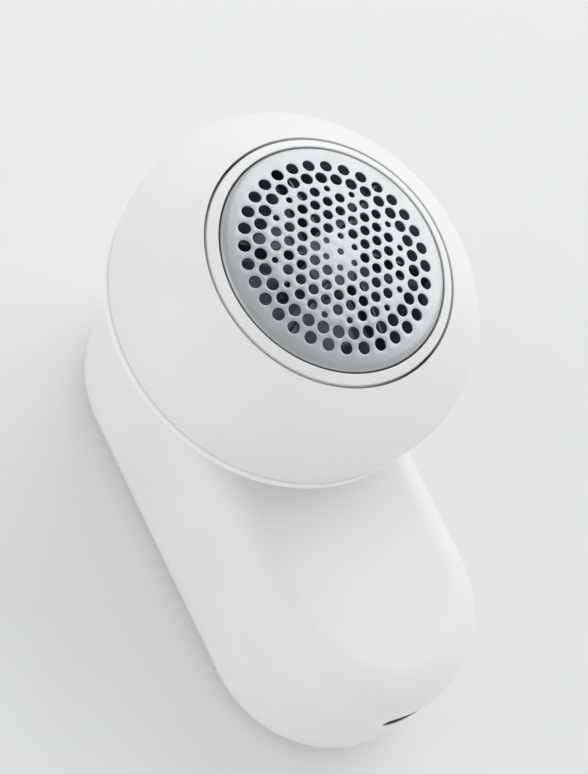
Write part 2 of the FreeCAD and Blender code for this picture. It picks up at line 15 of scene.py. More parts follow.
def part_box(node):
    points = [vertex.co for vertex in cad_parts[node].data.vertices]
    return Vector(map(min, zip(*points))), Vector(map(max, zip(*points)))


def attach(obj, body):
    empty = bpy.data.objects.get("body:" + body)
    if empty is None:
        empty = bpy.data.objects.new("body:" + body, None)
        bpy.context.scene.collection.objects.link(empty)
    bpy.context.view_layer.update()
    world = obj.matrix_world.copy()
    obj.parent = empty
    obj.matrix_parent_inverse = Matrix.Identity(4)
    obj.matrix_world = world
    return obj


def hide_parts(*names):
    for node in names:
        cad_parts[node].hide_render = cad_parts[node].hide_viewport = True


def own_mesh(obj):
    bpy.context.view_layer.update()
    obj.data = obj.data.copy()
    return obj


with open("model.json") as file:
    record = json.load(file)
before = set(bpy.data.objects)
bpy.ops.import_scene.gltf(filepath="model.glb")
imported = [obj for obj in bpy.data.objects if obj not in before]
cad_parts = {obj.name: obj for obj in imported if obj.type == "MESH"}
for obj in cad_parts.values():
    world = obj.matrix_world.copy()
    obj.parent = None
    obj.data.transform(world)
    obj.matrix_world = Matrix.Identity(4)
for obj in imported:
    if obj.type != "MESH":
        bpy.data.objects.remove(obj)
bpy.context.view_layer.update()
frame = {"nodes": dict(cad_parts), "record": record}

MM = 0.001
SHARP_ANGLE = math.radians(38)
CORNER_STEPS = 6           # straight pieces in a rounded corner of an outline
PILL_ARC_STEPS = 48        # points on each round end of the handle's plan
PILL_SIDE_STEPS = 28       # points on each of its straight sides
SLOT_POINTS = 72           # points round the charging slot
HOLE_POINTS = 48           # points round each opening in the base plate


# ---------------------------------------------------------------- sizes read from the frame
def middle(node):
    low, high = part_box(node)
    return (low + high) / 2


def half_span(node, axis):
    low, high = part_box(node)
    return (high[axis] - low[axis]) / 2


HEAD_X = middle("head_shell").x
HEAD_R = half_span("head_shell", 1)
HEAD_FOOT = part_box("head_shell")[0].z
MOUTH_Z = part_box("head_shell")[1].z
RING_R = half_span("foil_ring", 1)
RING_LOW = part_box("foil_ring")[0].z
FOIL_R = half_span("foil_mesh", 1)
FOIL_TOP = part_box("foil_mesh")[1].z
FOIL_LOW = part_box("foil_mesh")[0].z
TRAY_R = half_span("head_tray", 1)
HANDLE_HALF = half_span("handle_shell", 1)
HANDLE_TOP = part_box("handle_shell")[1].z
HANDLE_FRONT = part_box("handle_shell")[0].x
HANDLE_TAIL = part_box("handle_shell")[1].x
FRONT_CENTRE = HANDLE_FRONT + HANDLE_HALF
TAIL_CENTRE = HANDLE_TAIL - HANDLE_HALF
COVER_HALF = half_span("base_cover", 1)
PLUNGER_X = middle("interlock_plunger").x
BUTTON_X = middle("power_button").x
LENS_X = middle("indicator_lens").x
PORT_Z = middle("usb_receptacle").z
PORT_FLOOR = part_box("usb_receptacle")[1].x

# Sizes of shapes that a box doesn't give.
HEAD_WIDE = 56.1 * MM                # height at which the head is widest
HEAD_TOP_B = 18.46 * MM              # half heights of its curve above and below that
HEAD_LOW_B = 38.2 * MM
HEAD_WALL = 1.6 * MM
MOUTH_R = 25.8 * MM
LEDGE_R = 22.2 * MM                  # ledge in the bowl that the foil unit sits on
LEDGE_Z = 63.6 * MM
LEDGE_THICK = 1.4 * MM
RING_INNER = 23.3 * MM
FOIL_RISE = 2.9 * MM                 # height of the dome over its edge
FOIL_THICK = 0.35 * MM
RIB_OUTER, RIB_INNER = 33.4 * MM, 32.6 * MM        # the tray's locating rib
HANDLE_WALL = 1.8 * MM
HANDLE_TOP_ROUND = 8.5 * MM
HANDLE_LOW_ROUND = 9.0 * MM
SEAT_WIDE, SEAT_HIGH = 4.85 * MM, 2.15 * MM        # half sizes: seat of the slot's dark frame,
SOCKET_WIDE, SOCKET_HIGH = 4.5 * MM, 1.63 * MM     # hole round the socket
HOUSING_WIDE, HOUSING_HIGH = 6.0 * MM, 3.3 * MM    # and wall round the slot
SCREW_PLACES = ((FRONT_CENTRE - 12 * MM, 0.0), (TAIL_CENTRE, -12 * MM), (TAIL_CENTRE, 12 * MM))


# ---------------------------------------------------------------- mesh helpers
def add_object(name, mesh):
    piece = bpy.data.objects.new(name, mesh)
    bpy.context.scene.collection.objects.link(piece)
    return piece


def finish_mesh(name, verts, faces):
    """A closed, outward-facing, smooth-shaded object from raw vertices and faces."""
    mesh = bpy.data.meshes.new(name)
    mesh.from_pydata([tuple(v) for v in verts], [], faces)
    bm = bmesh.new()
    bm.from_mesh(mesh)
    bmesh.ops.remove_doubles(bm, verts=bm.verts, dist=1e-6)
    bmesh.ops.recalc_face_normals(bm, faces=bm.faces)
    bm.to_mesh(mesh)
    bm.free()
    mesh.polygons.foreach_set("use_smooth", [True] * len(mesh.polygons))
    mesh.set_sharp_from_angle(angle=SHARP_ANGLE)
    return add_object(name, mesh)


def weight_normals(piece):
    modifier = piece.modifiers.new("weighted_normals", "WEIGHTED_NORMAL")
    modifier.keep_sharp = True
    modifier.weight = 80
    return piece


def rounded(points):
    """Closed outline in (r, z): each (r, z, radius) corner becomes a tangent arc."""
    outline = []
    count = len(points)
    for i, (x, y, radius) in enumerate(points):
        corner = Vector((x, y))
        if radius <= 0:
            outline.append(corner)
            continue
        back = Vector(points[i - 1][:2]) - corner
        ahead = Vector(points[(i + 1) % count][:2]) - corner
        half = back.angle(ahead) / 2
        reach = min(radius / math.tan(half), 0.49 * back.length, 0.49 * ahead.length)
        bend = reach * math.tan(half)
        inward = (back.normalized() + ahead.normalized()).normalized()
        centre = corner + inward * (bend / math.sin(half))
        start = corner + back.normalized() * reach - centre
        end = corner + ahead.normalized() * reach - centre
        turn = start.angle_signed(end)
        for k in range(CORNER_STEPS + 1):
            part = -turn * k / CORNER_STEPS
            c, s = math.cos(part), math.sin(part)
            outline.append(centre + Vector((start.x * c - start.y * s, start.x * s + start.y * c)))
    return outline


def lathe(name, outline, x=HEAD_X, segments=192):
    """Closed (r, z) outline turned round a vertical axis on the centre line."""
    verts, faces = [], []
    count = len(outline)
    for k in range(segments):
        angle = 2 * math.pi * k / segments
        for r, z in outline:
            verts.append((x + r * math.cos(angle), r * math.sin(angle), z))
    for k in range(segments):
        a, b = k * count, ((k + 1) % segments) * count
        for i in range(count):
            j = (i + 1) % count
            faces.append((a + i, b + i, b + j, a + j))
    return finish_mesh(name, verts, faces)


def ring_points(radius, z, count, x=HEAD_X, y=0.0):
    """Level ring of points, counter-clockwise."""
    step = 2 * math.pi / count
    return [Vector((x + radius * math.cos(step * k), y + radius * math.sin(step * k), z))
            for k in range(count)]


def pill_points(half, z):
    """Outline of the handle's plan, half wide, counter-clockwise from the tail's -Y side."""
    points = []
    for first_angle, centre, far_centre, side in (
            (-math.pi / 2, TAIL_CENTRE, FRONT_CENTRE, half),
            (math.pi / 2, FRONT_CENTRE, TAIL_CENTRE, -half)):
        for k in range(PILL_ARC_STEPS):
            angle = first_angle + math.pi * k / PILL_ARC_STEPS
            points.append(Vector((centre + half * math.cos(angle), half * math.sin(angle), z)))
        for k in range(PILL_SIDE_STEPS):
            along = centre + (far_centre - centre) * k / PILL_SIDE_STEPS
            points.append(Vector((along, side, z)))
    return points


def loft(name, rings):
    """Skin over rings of equal length, closed at both ends."""
    verts = [p for ring in rings for p in ring]
    count = len(rings[0])
    faces = []
    for k in range(len(rings) - 1):
        a, b = k * count, (k + 1) * count
        for i in range(count):
            j = (i + 1) % count
            faces.append((a + i, a + j, b + j, b + i))
    faces.append(tuple(range(count)))
    faces.append(tuple(range(len(verts) - count, len(verts))))
    return finish_mesh(name, verts, faces)


def add_row(verts, points):
    """Append a row of points and return their numbers."""
    start = len(verts)
    verts.extend(points)
    return list(range(start, len(verts)))


def bands(rows):
    """Quads between closed rows of vertex numbers, each row with the next."""
    faces = []
    for first, second in zip(rows, rows[1:]):
        count = len(first)
        for k in range(count):
            n = (k + 1) % count
            faces.append((first[k], first[n], second[n], second[k]))
    return faces


def combine(piece, other, operation="DIFFERENCE"):
    """Boolean with another piece, applied at once; the other piece is then removed."""
    modifier = piece.modifiers.new("boolean", "BOOLEAN")
    modifier.operation = operation
    modifier.solver = "EXACT"
    modifier.object = other
    bpy.context.view_layer.update()
    graph = bpy.context.evaluated_depsgraph_get()
    mesh = bpy.data.meshes.new_from_object(piece.evaluated_get(graph))
    piece.modifiers.remove(modifier)
    piece.data = mesh
    mesh.polygons.foreach_set("use_smooth", [True] * len(mesh.polygons))
    mesh.set_sharp_from_angle(angle=SHARP_ANGLE)
    bpy.data.objects.remove(other)


def bevelled_box(name, low, high, width):
    bm = bmesh.new()
    bmesh.ops.create_cube(bm, size=1.0)
    size = Vector(high) - Vector(low)
    centre = (Vector(high) + Vector(low)) / 2
    bmesh.ops.scale(bm, vec=size, verts=bm.verts)
    bmesh.ops.translate(bm, vec=centre, verts=bm.verts)
    bmesh.ops.bevel(bm, geom=bm.edges, offset=width, segments=3, profile=0.5, affect="EDGES")
    mesh = bpy.data.meshes.new(name)
    bm.to_mesh(mesh)
    bm.free()
    mesh.polygons.foreach_set("use_smooth", [True] * len(mesh.polygons))
    return add_object(name, mesh)


# ---------------------------------------------------------------- material helpers
def new_material(name):
    material = bpy.data.materials.new(name)
    material.use_nodes = True
    nodes = material.node_tree.nodes
    nodes.clear()
    output = nodes.new("ShaderNodeOutputMaterial")
    shader = nodes.new("ShaderNodeBsdfPrincipled")
    material.node_tree.links.new(shader.outputs["BSDF"], output.inputs["Surface"])
    return material, shader


def coordinates(tree, stretch=(1, 1, 1)):
    """Object coordinates in metres, which are the frame's own, stretched per axis."""
    source = tree.nodes.new("ShaderNodeTexCoord")
    mapping = tree.nodes.new("ShaderNodeMapping")
    mapping.inputs["Scale"].default_value = stretch
    tree.links.new(source.outputs["Object"], mapping.inputs["Vector"])
    return mapping.outputs["Vector"]


def noise(tree, vector, grain, detail=3.0, roughness=0.5):
    """Noise whose grain is a size in metres."""
    node = tree.nodes.new("ShaderNodeTexNoise")
    node.inputs["Scale"].default_value = 1 / grain
    node.inputs["Detail"].default_value = detail
    node.inputs["Roughness"].default_value = roughness
    tree.links.new(vector, node.inputs["Vector"])
    return node.outputs["Fac"]


def to_range(tree, value, low, high, from_low=0.3, from_high=0.7):
    node = tree.nodes.new("ShaderNodeMapRange")
    node.inputs["From Min"].default_value = from_low
    node.inputs["From Max"].default_value = from_high
    node.inputs["To Min"].default_value = low
    node.inputs["To Max"].default_value = high
    tree.links.new(value, node.inputs["Value"])
    return node.outputs["Result"]


def two_tone(tree, factor, dark, light, low=0.35, high=0.65):
    node = tree.nodes.new("ShaderNodeValToRGB")
    node.color_ramp.elements[0].position = low
    node.color_ramp.elements[1].position = high
    node.color_ramp.elements[0].color = (*dark, 1)
    node.color_ramp.elements[1].color = (*light, 1)
    tree.links.new(factor, node.inputs["Fac"])
    return node.outputs["Color"]


def bump(tree, height, depth):
    """Relief from a height of 0 to 1, depth in metres."""
    node = tree.nodes.new("ShaderNodeBump")
    node.inputs["Strength"].default_value = 1.0
    node.inputs["Distance"].default_value = depth
    tree.links.new(height, node.inputs["Height"])
    return node.outputs["Normal"]


def shade(colour, factor):
    return tuple(min(1.0, c * factor) for c in colour)


def connect(tree, shader, colour, roughness, normal=None):
    """Link a material's colour, roughness and, where it has relief, its normal."""
    tree.links.new(colour, shader.inputs["Base Color"])
    tree.links.new(roughness, shader.inputs["Roughness"])
    if normal is not None:
        tree.links.new(normal, shader.inputs["Normal"])


# A roughness that crosses 0.274 leaves outlines of the gloss pattern in a denoised picture,
# so the materials below stay above it.
def moulded_plastic(name, colour, roughness, grain, depth, coat=0.0):
    """Moulded plastic: broad tone drift, fine spark-eroded texture, uneven gloss."""
    material, shader = new_material(name)
    tree = material.node_tree
    vector = coordinates(tree)
    drift = noise(tree, vector, 30 * MM, 2.0)
    tone = two_tone(tree, drift, shade(colour, 0.975), shade(colour, 1.01))
    fine = noise(tree, vector, grain, 4.0, 0.6)
    wear = noise(tree, vector, 6 * MM, 3.0)
    gloss = to_range(tree, wear, roughness - 0.035, roughness + 0.035)
    connect(tree, shader, tone, gloss, bump(tree, fine, depth))
    shader.inputs["IOR"].default_value = 1.5
    shader.inputs["Coat Weight"].default_value = coat
    shader.inputs["Coat Roughness"].default_value = 0.2
    return material


def tray_plastic(name, painted_highlight_lip_colour, painted_shade_floor_colour, roughness, grain, depth, coat):
    """Plastic for the tray: paler at the lip as a painted highlight, grey on the floor inside the
    rib as painted shade.
    """
    material = moulded_plastic(name, painted_highlight_lip_colour, roughness, grain, depth, coat)
    tree = material.node_tree
    shader = next(node for node in tree.nodes if node.type == "BSDF_PRINCIPLED")
    painted_highlight_lip_tone = shader.inputs["Base Color"].links[0].from_socket
    centred = tree.nodes.new("ShaderNodeMapping")
    centred.inputs["Location"].default_value = (-HEAD_X, 0, 0)
    centred.inputs["Scale"].default_value = (1, 1, 0)
    tree.links.new(coordinates(tree), centred.inputs["Vector"])
    radius = tree.nodes.new("ShaderNodeVectorMath")
    radius.operation = "LENGTH"
    tree.links.new(centred.outputs["Vector"], radius.inputs[0])
    dust = noise(tree, coordinates(tree), 5 * MM, 4.0)
    # Outside the rib the lip takes the paler colour, a painted highlight; inside it the floor takes
    # the grey colour, painted shade.
    mix = tree.nodes.new("ShaderNodeMix")
    mix.data_type = "RGBA"
    past_rib = to_range(tree, radius.outputs["Value"], 0.0, 1.0,
                        RIB_OUTER + 0.1 * MM, RIB_OUTER + 0.2 * MM)
    painted_shade_floor_tone = two_tone(tree, dust, shade(painted_shade_floor_colour, 0.93), shade(painted_shade_floor_colour, 1.05))
    tree.links.new(past_rib, mix.inputs["Factor"])
    tree.links.new(painted_shade_floor_tone, mix.inputs["A"])
    tree.links.new(painted_highlight_lip_tone, mix.inputs["B"])
    tree.links.new(mix.outputs["Result"], shader.inputs["Base Color"])
    return material


def rolled_metal(name, colour, roughness, stretch):
    """Sheet or turned metal: fine lines along one axis, smudged gloss."""
    material, shader = new_material(name)
    tree = material.node_tree
    plain = coordinates(tree)
    lines = noise(tree, coordinates(tree, stretch), 1.6 * MM, 5.0, 0.65)
    tone = two_tone(tree, lines, shade(colour, 0.9), shade(colour, 1.05))
    smudge = noise(tree, plain, 7 * MM, 3.0)
    gloss = to_range(tree, smudge, roughness - 0.05, roughness + 0.06)
    connect(tree, shader, tone, gloss, bump(tree, lines, 0.002 * MM))
    shader.inputs["Metallic"].default_value = 1.0
    return material


def studio_paper(name, colour):
    """Matt backdrop: barely uneven tone over a hand's width, fine tooth."""
    material, shader = new_material(name)
    tree = material.node_tree
    vector = coordinates(tree)
    drift = noise(tree, vector, 150 * MM, 1.0)
    tone = two_tone(tree, drift, shade(colour, 0.995), shade(colour, 1.003))
    tree.links.new(tone, shader.inputs["Base Color"])
    shader.inputs["Roughness"].default_value = 0.85
    tooth = noise(tree, vector, 0.8 * MM, 3.0)
    tree.links.new(bump(tree, tooth, 0.006 * MM), shader.inputs["Normal"])
    return material


def soft_rubber(name, colour):
    """Silicone or wire jacket: dusty tone and gloss, soft relief."""
    material, shader = new_material(name)
    tree = material.node_tree
    vector = coordinates(tree)
    dust = noise(tree, vector, 2.5 * MM, 4.0)
    tone = two_tone(tree, dust, shade(colour, 0.85), shade(colour, 1.15))
    relief = bump(tree, noise(tree, vector, 0.25 * MM, 3.0), 0.008 * MM)
    connect(tree, shader, tone, to_range(tree, dust, 0.62, 0.78), relief)
    return material


def wound_copper(name, colour):
    """Enamelled windings: fine parallel turns, with painted shade in the grooves between them."""
    material, shader = new_material(name)
    tree = material.node_tree
    wave = tree.nodes.new("ShaderNodeTexWave")
    wave.bands_direction = "Z"
    wave.inputs["Scale"].default_value = 1 / (0.9 * MM)
    wave.inputs["Distortion"].default_value = 1.2
    tree.links.new(coordinates(tree), wave.inputs["Vector"])
    turns = wave.outputs["Fac"]
    # The tone falls to half in the grooves between turns: painted shade.
    tone = two_tone(tree, turns, shade(colour, 0.5), colour, 0.1, 0.8)
    gloss = to_range(tree, turns, 0.42, 0.28, 0, 1)
    connect(tree, shader, tone, gloss, bump(tree, turns, 0.08 * MM))
    shader.inputs["Metallic"].default_value = 0.9
    return material


def circuit_board(name, colour):
    """Solder mask with faint copper tracks under it."""
    material, shader = new_material(name)
    tree = material.node_tree
    tracks = tree.nodes.new("ShaderNodeTexBrick")
    tracks.inputs["Scale"].default_value = 1 / (6 * MM)
    tracks.inputs["Mortar Size"].default_value = 0.02
    tracks.inputs["Color1"].default_value = (*colour, 1)
    tracks.inputs["Color2"].default_value = (*shade(colour, 0.85), 1)
    tracks.inputs["Mortar"].default_value = (*shade(colour, 1.7), 1)
    tree.links.new(coordinates(tree), tracks.inputs["Vector"])
    gloss = to_range(tree, tracks.outputs["Fac"], 0.3, 0.42, 0, 1)
    connect(tree, shader, tracks.outputs["Color"], gloss)
    return material


def frosted_lens(name, colour):
    """Cloudy light pipe."""
    material, shader = new_material(name)
    tree = material.node_tree
    cloud = noise(tree, coordinates(tree), 0.8 * MM, 3.0)
    tone = two_tone(tree, cloud, shade(colour, 0.9), colour)
    connect(tree, shader, tone, to_range(tree, cloud, 0.29, 0.4))
    shader.inputs["Transmission Weight"].default_value = 0.6
    shader.inputs["IOR"].default_value = 1.49
    return material


def make_materials():
    """One material for each record slot, and two that stand in for a slot on one piece."""
    # The tray's lip colour is a paler copy of the white plastic, a painted highlight; its floor
    # colour is a grey copy, painted shade inside the rib.
    white, lip, painted_shade_tray_floor = (0.865, 0.865, 0.855), (0.93, 0.935, 0.93), (0.5, 0.525, 0.54)
    made = {}
    # name: colour, roughness, grain and depth of the texture in millimetres, coat
    for name, (colour, roughness, grain, depth, coat) in {
            "shell_white": (white, 0.42, 0.32, 0.010, 0.0),
            "ring_white": (shade(white, 0.985), 0.315, 0.5, 0.004, 0.15),
            "button_grey": ((0.58, 0.585, 0.58), 0.45, 0.25, 0.012, 0.0),
            "carrier_plastic": ((0.3, 0.32, 0.335), 0.55, 0.3, 0.01, 0.0),
            "black_plastic": ((0.03, 0.032, 0.035), 0.45, 0.3, 0.01, 0.0),
            "liner_grey": ((0.1, 0.104, 0.108), 0.5, 0.3, 0.01, 0.0),
            "cell_wrap": ((0.02, 0.09, 0.25), 0.32, 2.0, 0.02, 0.3)}.items():
        made[name] = moulded_plastic(name, colour, roughness, grain * MM, depth * MM, coat)
    made["tray_painted_light"] = tray_plastic("tray_painted_light", lip, painted_shade_tray_floor,
                                      0.315, 0.4 * MM, 0.005 * MM, 0.3)
    # name: colour, roughness, how the lines are squeezed along each axis
    for name, (colour, roughness, stretch) in {
            "foil_steel": ((0.5, 0.515, 0.525), 0.34, (1, 14, 1)),
            "blade_steel": ((0.13, 0.14, 0.15), 0.55, (10, 1, 1)),
            "screw_steel": ((0.5, 0.5, 0.51), 0.335, (1, 1, 8)),
            "motor_steel": ((0.55, 0.55, 0.54), 0.335, (1, 1, 10)),
            "usb_steel": ((0.6, 0.6, 0.6), 0.335, (8, 1, 1)),
            "brass": ((0.72, 0.5, 0.2), 0.335, (1, 1, 6))}.items():
        made[name] = rolled_metal(name, colour, roughness, stretch)
    for name, colour in {"rubber": (0.03, 0.03, 0.032), "wire_red": (0.4, 0.02, 0.015),
                         "wire_black": (0.02, 0.02, 0.02)}.items():
        made[name] = soft_rubber(name, colour)
    made["copper"] = wound_copper("copper", (0.6, 0.25, 0.1))
    made["pcb_green"] = circuit_board("pcb_green", (0.012, 0.09, 0.04))
    made["lens_clear"] = frosted_lens("lens_clear", (0.85, 0.88, 0.86))
    return made


def dress(piece, slot, body, *nodes):
    """Give a new piece the material of its record slot and its body, and hide the CAD nodes it
    stands for.
    """
    piece.data.materials.clear()
    piece.data.materials.append(MATERIALS[slot])
    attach(piece, body)
    if nodes:
        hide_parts(*nodes)
    return piece


# ---------------------------------------------------------------- head bowl
def head_outline(z, inset=0.0):
    """Point (r, z) on the head's outer curve, moved inward along its normal."""
    half_height = HEAD_TOP_B if z > HEAD_WIDE else HEAD_LOW_B
    rise = (z - HEAD_WIDE) / half_height
    radius = HEAD_R * math.sqrt(max(0.0, 1 - rise ** 2))
    normal = Vector((radius / HEAD_R ** 2, rise / half_height)).normalized()
    return Vector((radius, z)) - normal * inset


def curve_points(z_from, z_to, inset, steps):
    """Points along the head's curve between two heights."""
    return [head_outline(z_from + (z_to - z_from) * k / steps, inset) for k in range(steps + 1)]


def make_head_bowl():
    """Round lint bowl with a ledge for the foil unit, and the post that presses the plunger."""
    collar = MOUTH_R + HEAD_WALL
    ledge_low = LEDGE_Z - LEDGE_THICK
    outer = curve_points(HEAD_FOOT + 0.4 * MM, MOUTH_Z - 0.12 * MM, 0.0, 40)
    inner = curve_points(MOUTH_Z - 3.0 * MM, HEAD_FOOT + 0.4 * MM, HEAD_WALL, 30)
    foot_out = head_outline(HEAD_FOOT).x
    foot_in = inner[-1].x
    corners = [(p.x, p.y, 0) for p in outer]
    corners += [(MOUTH_R, MOUTH_Z, 0.18 * MM), (MOUTH_R, LEDGE_Z, 0.2 * MM),
                (LEDGE_R, LEDGE_Z, 0.3 * MM), (LEDGE_R, ledge_low, 0.3 * MM),
                (collar, ledge_low, 0.3 * MM), (collar, inner[0].y, 0)]
    corners += [(p.x, p.y, 0) for p in inner]
    corners += [(foot_in, HEAD_FOOT, 0.2 * MM), (foot_out, HEAD_FOOT, 0.12 * MM)]
    bowl = lathe("head_bowl", rounded(corners), segments=256)
    dress(weight_normals(bowl), "shell_white", "head_bowl", "head_shell")
    post_low, post_high, half_thick = 49.3 * MM, 62.4 * MM, 1.2 * MM
    post = bevelled_box("bowl_post", (PLUNGER_X - 2.0 * MM, -half_thick, post_low),
                        (PLUNGER_X + 0.7 * MM, half_thick, post_high), 0.25 * MM)
    dress(post, "shell_white", "head_bowl")


def make_lock_ring():
    """Ring with a bevelled face, open below for the foil carrier."""
    crest, shoulder = 70.45 * MM, 69.40 * MM
    pocket_r, pocket_roof, lip_low = 24.6 * MM, 68.6 * MM, 68.8 * MM
    outline = rounded([(RING_INNER, crest, 0.22 * MM), (RING_R, shoulder, 0.35 * MM),
                       (RING_R, RING_LOW, 0.2 * MM), (pocket_r, RING_LOW, 0.1 * MM),
                       (pocket_r, pocket_roof, 0.1 * MM), (RING_INNER, lip_low, 0.15 * MM)])
    ring = lathe("lock_ring", outline, segments=256)
    dress(weight_normals(ring), "ring_white", "lock_ring", "foil_ring")


def make_foil_carrier():
    """Stepped ring that the foil's skirt is crimped on."""
    low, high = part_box("foil_carrier")
    outer = half_span("foil_carrier", 1)
    bore, neck_r, step_z = 21.4 * MM, 22.6 * MM, 68.2 * MM
    outline = rounded([(bore, low.z, 0.25 * MM), (bore, high.z, 0.2 * MM),
                       (neck_r, high.z, 0.2 * MM), (neck_r, step_z, 0.1 * MM),
                       (outer, step_z, 0.25 * MM), (outer, low.z, 0.25 * MM)])
    carrier = lathe("foil_carrier_ring", outline)
    dress(weight_normals(carrier), "carrier_plastic", "foil_unit", "foil_carrier")


# ---------------------------------------------------------------- cutting foil
# Diameters of the three sizes of hole, then the lattice and the two round rows: radius, phase.
HOLE_SMALL = 1.25 * MM
HOLE_MEDIUM = 2.0 * MM
HOLE_LARGE = 2.4 * MM
HOLE_PITCH = 2.95 * MM
HOLE_FIRST_RING = 3.35 * MM
HOLE_RINGS = ((15.95 * MM, 0.5), (18.75 * MM, 0.0))
HOLE_RING_COUNT = 32


def lattice_corner(ring_number, side):
    """Corner of one hexagon of the lattice."""
    angle = math.radians(30 + 60 * side)
    return Vector((math.cos(angle), math.sin(angle))) * (HOLE_PITCH * ring_number)


def foil_holes():
    """(centre, diameter) from the head's axis: centre, hexagon lattice, two staggered rows."""
    holes = [(Vector((0.0, 0.0)), HOLE_SMALL)]
    for k in range(6):
        angle = math.radians(30 + 60 * k)
        holes.append((Vector((math.cos(angle), math.sin(angle))) * HOLE_FIRST_RING, HOLE_SMALL))
    for hexa in range(2, 6):
        for side in range(6):
            for step in range(hexa):
                if hexa == 5 and step == 0:
                    continue
                start, end = lattice_corner(hexa, side), lattice_corner(hexa, side + 1)
                size = HOLE_SMALL if hexa == 5 and step in (1, 4) else HOLE_MEDIUM
                holes.append((start.lerp(end, step / hexa), size))
    for radius, phase in HOLE_RINGS:
        for k in range(HOLE_RING_COUNT):
            angle = 2 * math.pi * (k + phase) / HOLE_RING_COUNT
            holes.append((Vector((math.cos(angle), math.sin(angle))) * radius, HOLE_LARGE))
    return holes


FOIL_SPHERE = (FOIL_R ** 2 + FOIL_RISE ** 2) / (2 * FOIL_RISE)


def dome_point(x, y, depth):
    """Point under or on the foil's outer sphere; x and y are from the head's axis."""
    centre_z = FOIL_TOP - FOIL_SPHERE
    height = math.sqrt(FOIL_SPHERE ** 2 - x * x - y * y)
    scale = (FOIL_SPHERE - depth) / FOIL_SPHERE
    return Vector((HEAD_X + x * scale, y * scale, centre_z + height * scale))


def triangulate(loops, loose):
    """Constrained triangles inside the first loop and outside the other, convex, loops.

    Returns the points, the triangles and, for each point given, its place among the points.
    """
    points, edges, owner = [], [], {}
    for number, loop in enumerate(loops):
        first = len(points)
        points += loop
        edges += [(first + k, first + (k + 1) % len(loop)) for k in range(len(loop))]
        owner.update((first + k, number) for k in range(len(loop)))
    points += loose
    found = delaunay_2d_cdt(points, edges, [], 1, 1e-9)
    flat, triangles, origins = found[0], found[2], found[3]
    place, loop_of = {}, {}
    for index, sources in enumerate(origins):
        for source in sources:
            place[source] = index
            loop_of[index] = owner.get(source, 0)
    kept = [t for t in triangles
            if len({loop_of.get(i, 0) for i in t}) > 1 or loop_of.get(t[0], 0) == 0]
    return flat, kept, place


def circle(centre, radius, count):
    """Flat circle of points, counter-clockwise."""
    return [Vector((centre.x + radius * math.cos(2 * math.pi * k / count),
                    centre.y + radius * math.sin(2 * math.pi * k / count))) for k in range(count)]


def make_foil():
    """Thin steel dome: punched holes with rolled lips, and a skirt crimped round the carrier."""
    lip = 0.13 * MM
    edge_r = FOIL_R - 0.55 * MM            # where the dome ends and bends into the skirt
    rim_points, hole_points, loose_points = 256, 28, 144
    holes = foil_holes()
    loops = [circle(Vector((0, 0)), edge_r, rim_points)]
    loops += [circle(centre, size / 2 + lip, hole_points) for centre, size in holes]
    loose = []
    for radius in (20.75 * MM, 21.6 * MM):
        loose += circle(Vector((0, 0)), radius, loose_points)
    flat, triangles, place = triangulate(loops, loose)
    verts = [dome_point(p.x, p.y, 0) for p in flat]
    verts += [dome_point(p.x, p.y, FOIL_THICK) for p in flat]
    under = len(flat)
    faces = [tuple(t) for t in triangles]
    faces += [tuple(under + i for i in reversed(t)) for t in triangles]

    # Each hole's wall: distance out from the hole's edge and depth under the dome, in millimetres.
    lip_rows = ((0.075, 0.012), (0.03, 0.045), (0.0, 0.11), (0.0, 0.35))
    start = rim_points
    for centre, size in holes:
        top = [place[start + k] for k in range(hole_points)]
        rows = [top]
        for out, depth in lip_rows:
            points = circle(centre, size / 2 + out * MM, hole_points)
            rows.append(add_row(verts, [dome_point(p.x, p.y, depth * MM) for p in points]))
        rows.append([under + i for i in top])
        faces += bands(rows)
        start += hole_points

    # The skirt: round the bend, down, in under the edge and back up inside.
    top = [place[k] for k in range(rim_points)]
    edge_z = dome_point(edge_r, 0, 0).z
    bend, bend_steps = FOIL_R - edge_r, 6
    skirt = []
    for k in range(1, bend_steps + 1):
        angle = math.pi / 2 * k / bend_steps
        skirt.append((edge_r + bend * math.sin(angle),
                      edge_z - 0.09 * MM - bend * (1 - math.cos(angle))))
    skirt += [(FOIL_R, FOIL_LOW), (FOIL_R - FOIL_THICK, FOIL_LOW),
              (FOIL_R - FOIL_THICK, edge_z - bend - 0.35 * MM)]
    rows = [top]
    rows += [add_row(verts, ring_points(radius, z, rim_points)) for radius, z in skirt]
    rows.append([under + i for i in top])
    faces += bands(rows)
    foil = finish_mesh("cutting_foil", verts, faces)
    dress(foil, "foil_steel", "foil_unit", "foil_mesh")


# ---------------------------------------------------------------- tray and neck
def round_hole(piece, x, y, radius, low, high):
    """Upright round hole through a piece."""
    combine(piece, loft("hole_cutter", [ring_points(radius, z, 32, x, y) for z in (low, high)]))


